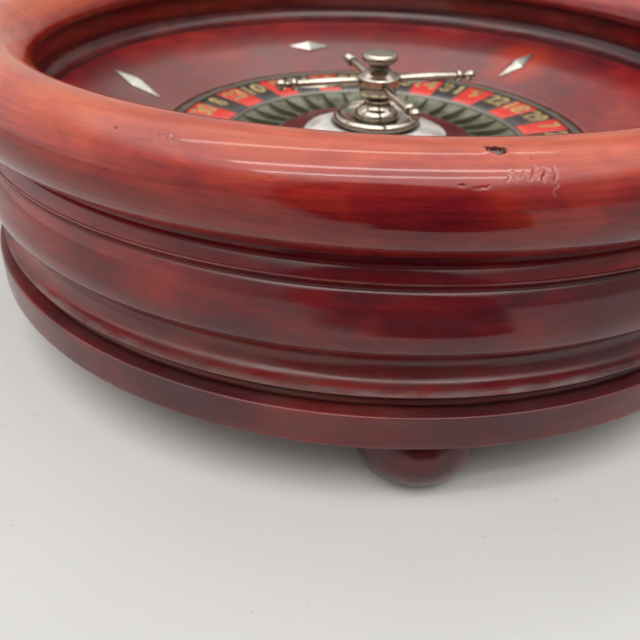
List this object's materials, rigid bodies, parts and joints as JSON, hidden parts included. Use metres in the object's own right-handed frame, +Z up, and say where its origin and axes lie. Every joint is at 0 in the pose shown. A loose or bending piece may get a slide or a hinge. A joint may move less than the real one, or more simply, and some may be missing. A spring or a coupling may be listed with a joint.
{
  "type": "roulette wheel",
  "caption": "Table-top roulette wheel: a turned mahogany bowl on bun feet, with a bearing-mounted wheelhead, numbered pockets, deflectors and a four-armed nickel turret.",
  "frame": {"origin": "on the wheel's axis, at the height of the table the feet stand on", "axes": "+Z up along the spin axis, -Y towards the player at the front, +X to the right"},
  "size_m": [0.5002, 0.5002, 0.1735],
  "materials": {
    "mahogany": "gloss lacquer over red mahogany stain, worn on the edges",
    "plywood": "raw plywood",
    "felt": "wool felt",
    "zinc_steel": "zinc plated",
    "bearing_steel": "ground",
    "brass": "turned",
    "enamel": "satin enamel cells in red, black and one green, gold numerals",
    "pewter": "dark gunmetal, satin",
    "nickel": "polished nickel, slightly tarnished"
  },
  "bodies": {
    "bowl": {"apron": "mahogany", "apron_support_ring": "plywood", "ball_track_ring": "mahogany", "base_board": "plywood", "base_screws": "zinc_steel", "bowl_floor": "plywood", "cove_ring": "mahogany", "deflector_1": "nickel", "deflector_2": "nickel", "deflector_3": "nickel", "deflector_4": "nickel", "deflector_5": "nickel", "deflector_6": "nickel", "deflector_screws": "zinc_steel", "felt_pads": "felt", "foot_back": "mahogany", "foot_front": "mahogany", "foot_left": "mahogany", "foot_right": "mahogany", "foot_studs": "zinc_steel", "lower_bearing_inner_race": "bearing_steel", "middle_bead_ring": "mahogany", "neck_ring": "mahogany", "plinth_ring": "mahogany", "rim_ring": "mahogany", "spindle": "zinc_steel", "spindle_flange": "brass", "spindle_flange_screws": "zinc_steel", "spindle_nut": "zinc_steel", "spindle_washer": "zinc_steel", "upper_bearing_inner_race": "bearing_steel"},
    "wheelhead": {"rotor_hub": "brass", "rotor_hub_screws": "zinc_steel", "wheelhead": "mahogany", "outer_trim_ring": "nickel", "number_ring": "enamel", "inner_trim_ring": "nickel", "pocket_ring": "pewter", "pocket_frets": "nickel", "rotor_cone": "mahogany", "cone_plate": "nickel", "turret_base": "nickel", "turret_column": "nickel", "turret_hub": "nickel", "turret_arm_1": "nickel", "turret_arm_2": "nickel", "turret_arm_3": "nickel", "turret_arm_4": "nickel", "turret_knob": "nickel", "turret_stud": "zinc_steel", "lower_bearing_outer_race": "bearing_steel", "upper_bearing_outer_race": "bearing_steel"},
    "lower_cage": {"lower_bearing_cage": "brass", "lower_bearing_balls": "bearing_steel"},
    "upper_cage": {"upper_bearing_cage": "brass", "upper_bearing_balls": "bearing_steel"}
  },
  "joints": [
    {"name": "wheel_spin", "type": "hinge", "parent": "bowl", "child": "wheelhead", "pos_m": [0, 0, 0.09], "axis": [0, 0, 1], "continuous": true},
    {"name": "lower_cage_roll", "type": "hinge", "parent": "bowl", "child": "lower_cage", "pos_m": [0, 0, 0.078], "axis": [0, 0, 1], "continuous": true},
    {"name": "upper_cage_roll", "type": "hinge", "parent": "bowl", "child": "upper_cage", "pos_m": [0, 0, 0.094], "axis": [0, 0, 1], "continuous": true}
  ],
  "couplings": [
    {"joint": "lower_cage_roll", "follows": "wheel_spin", "ratio": 0.619},
    {"joint": "upper_cage_roll", "follows": "wheel_spin", "ratio": 0.619}
  ]
}
